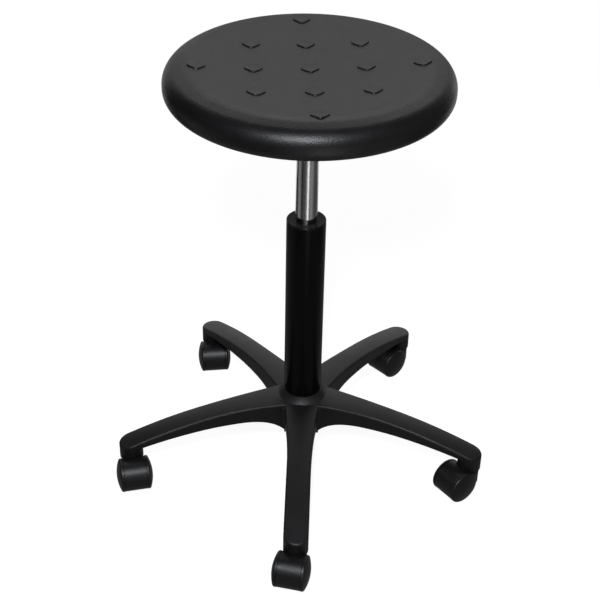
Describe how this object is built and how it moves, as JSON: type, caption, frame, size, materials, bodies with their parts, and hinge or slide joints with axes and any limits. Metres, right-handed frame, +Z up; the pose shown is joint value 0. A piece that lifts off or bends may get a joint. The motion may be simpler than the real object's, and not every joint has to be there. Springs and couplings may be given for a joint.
{
  "type": "rolling stool",
  "caption": "Low rolling stool: round dished foam seat with raised diamonds, gas lift column with height lever, star base on hooded twin-wheel casters.",
  "frame": {"origin": "on the floor, on the column's axis", "axes": "+Z up along the column, -Y to the front arm"},
  "size_m": [0.4883, 0.4957, 0.582],
  "materials": {
    "seat_foam": "moulded foam skin with a fine grain",
    "board": "raw plywood",
    "zinc_steel": "zinc plated",
    "black_steel": "gloss black powder coat",
    "plate_steel": "satin black paint",
    "chrome": "polished",
    "base_nylon": "fine matt moulding",
    "caster_nylon": "satin moulding",
    "bush_plastic": "gloss moulding",
    "seal_rubber": "black rubber"
  },
  "bodies": {
    "base": {"star_base": "base_nylon", "outer_tube": "black_steel", "guide_bush": "bush_plastic", "bearing_lower_race": "zinc_steel", "bearing_balls": "zinc_steel", "bearing_cage": "bush_plastic", "stem_grip_rings": "zinc_steel", "front_caster_stem": "zinc_steel", "right_caster_stem": "zinc_steel", "rear_right_caster_stem": "zinc_steel", "rear_left_caster_stem": "zinc_steel", "left_caster_stem": "zinc_steel"},
    "lift_spindle": {"piston_rod": "zinc_steel", "piston_head": "bush_plastic", "piston_seal": "seal_rubber", "bearing_upper_race": "zinc_steel", "thrust_washer": "zinc_steel", "rubber_buffer": "seal_rubber", "retaining_clip": "zinc_steel"},
    "seat": {"gas_cylinder": "chrome", "rod_guide": "bush_plastic", "rod_seal": "seal_rubber", "valve_body": "bush_plastic", "seat_pad": "seat_foam", "seat_board": "board", "tee_nuts": "zinc_steel", "seat_screws": "zinc_steel", "seat_plate": "plate_steel", "lever_pivot_pin": "zinc_steel"},
    "height_lever": {"release_lever": "plate_steel", "lever_paddle": "bush_plastic"},
    "valve_pin": {"release_pin": "zinc_steel"},
    "front_caster": {"front_caster_hood": "caster_nylon", "front_caster_axle": "zinc_steel"},
    "front_wheel_a": {"front_caster_wheel_a": "caster_nylon"},
    "front_wheel_b": {"front_caster_wheel_b": "caster_nylon"},
    "right_caster": {"right_caster_hood": "caster_nylon", "right_caster_axle": "zinc_steel"},
    "right_wheel_a": {"right_caster_wheel_a": "caster_nylon"},
    "right_wheel_b": {"right_caster_wheel_b": "caster_nylon"},
    "rear_right_caster": {"rear_right_caster_hood": "caster_nylon", "rear_right_caster_axle": "zinc_steel"},
    "rear_right_wheel_a": {"rear_right_caster_wheel_a": "caster_nylon"},
    "rear_right_wheel_b": {"rear_right_caster_wheel_b": "caster_nylon"},
    "rear_left_caster": {"rear_left_caster_hood": "caster_nylon", "rear_left_caster_axle": "zinc_steel"},
    "rear_left_wheel_a": {"rear_left_caster_wheel_a": "caster_nylon"},
    "rear_left_wheel_b": {"rear_left_caster_wheel_b": "caster_nylon"},
    "left_caster": {"left_caster_hood": "caster_nylon", "left_caster_axle": "zinc_steel"},
    "left_wheel_a": {"left_caster_wheel_a": "caster_nylon"},
    "left_wheel_b": {"left_caster_wheel_b": "caster_nylon"}
  },
  "joints": [
    {"name": "seat_swivel", "type": "hinge", "parent": "base", "child": "lift_spindle", "pos_m": [0, 0, 0.057], "axis": [0, 0, 1], "continuous": true},
    {"name": "seat_height", "type": "slide", "parent": "lift_spindle", "child": "seat", "axis": [0, 0, 1], "range_m": [-0.104, 0.096]},
    {"name": "lever_lift", "type": "hinge", "parent": "seat", "child": "height_lever", "pos_m": [0.02758, 0.02314, 0.5299], "axis": [0.6428, -0.766, 0], "range_deg": [0, 7], "stiffness_Nm_per_rad": 2, "springref_deg": -5.73},
    {"name": "valve_pin_press", "type": "slide", "parent": "seat", "child": "valve_pin", "axis": [0, 0, 1], "range_m": [-0.0044, 0]},
    {"name": "front_caster_swivel", "type": "hinge", "parent": "base", "child": "front_caster", "pos_m": [0, -0.2385, 0.033], "axis": [0, 0, 1], "continuous": true},
    {"name": "front_wheel_a_spin", "type": "hinge", "parent": "front_caster", "child": "front_wheel_a", "pos_m": [-0.00448, -0.26157, 0.0225], "axis": [0.9816, -0.1908, 0], "continuous": true},
    {"name": "front_wheel_b_spin", "type": "hinge", "parent": "front_caster", "child": "front_wheel_b", "pos_m": [-0.00448, -0.26157, 0.0225], "axis": [0.9816, -0.1908, 0], "continuous": true},
    {"name": "right_caster_swivel", "type": "hinge", "parent": "base", "child": "right_caster", "pos_m": [0.22683, -0.0737, 0.033], "axis": [0, 0, 1], "continuous": true},
    {"name": "right_wheel_a_spin", "type": "hinge", "parent": "right_caster", "child": "right_wheel_a", "pos_m": [0.20856, -0.08849, 0.0225], "axis": [0.6293, -0.7771, 0], "continuous": true},
    {"name": "right_wheel_b_spin", "type": "hinge", "parent": "right_caster", "child": "right_wheel_b", "pos_m": [0.20856, -0.08849, 0.0225], "axis": [0.6293, -0.7771, 0], "continuous": true},
    {"name": "rear_right_caster_swivel", "type": "hinge", "parent": "base", "child": "rear_right_caster", "pos_m": [0.14019, 0.19295, 0.033], "axis": [0, 0, 1], "continuous": true},
    {"name": "rear_right_wheel_a_spin", "type": "hinge", "parent": "rear_right_caster", "child": "rear_right_wheel_a", "pos_m": [0.12357, 0.17633, 0.0225], "axis": [0.7071, -0.7071, 0], "continuous": true},
    {"name": "rear_right_wheel_b_spin", "type": "hinge", "parent": "rear_right_caster", "child": "rear_right_wheel_b", "pos_m": [0.12357, 0.17633, 0.0225], "axis": [0.7071, -0.7071, 0], "continuous": true},
    {"name": "rear_left_caster_swivel", "type": "hinge", "parent": "base", "child": "rear_left_caster", "pos_m": [-0.14019, 0.19295, 0.033], "axis": [0, 0, 1], "continuous": true},
    {"name": "rear_left_wheel_a_spin", "type": "hinge", "parent": "rear_left_caster", "child": "rear_left_wheel_a", "pos_m": [-0.13651, 0.16974, 0.0225], "axis": [0.9877, 0.1564, 0], "continuous": true},
    {"name": "rear_left_wheel_b_spin", "type": "hinge", "parent": "rear_left_caster", "child": "rear_left_wheel_b", "pos_m": [-0.13651, 0.16974, 0.0225], "axis": [0.9877, 0.1564, 0], "continuous": true},
    {"name": "left_caster_swivel", "type": "hinge", "parent": "base", "child": "left_caster", "pos_m": [-0.22683, -0.0737, 0.033], "axis": [0, 0, 1], "continuous": true},
    {"name": "left_wheel_a_spin", "type": "hinge", "parent": "left_caster", "child": "left_wheel_a", "pos_m": [-0.22074, -0.0964, 0.0225], "axis": [0.9659, 0.2588, 0], "continuous": true},
    {"name": "left_wheel_b_spin", "type": "hinge", "parent": "left_caster", "child": "left_wheel_b", "pos_m": [-0.22074, -0.0964, 0.0225], "axis": [0.9659, 0.2588, 0], "continuous": true}
  ],
  "couplings": [
    {"joint": "valve_pin_press", "follows": "lever_lift", "m_per_rad": -0.036}
  ]
}
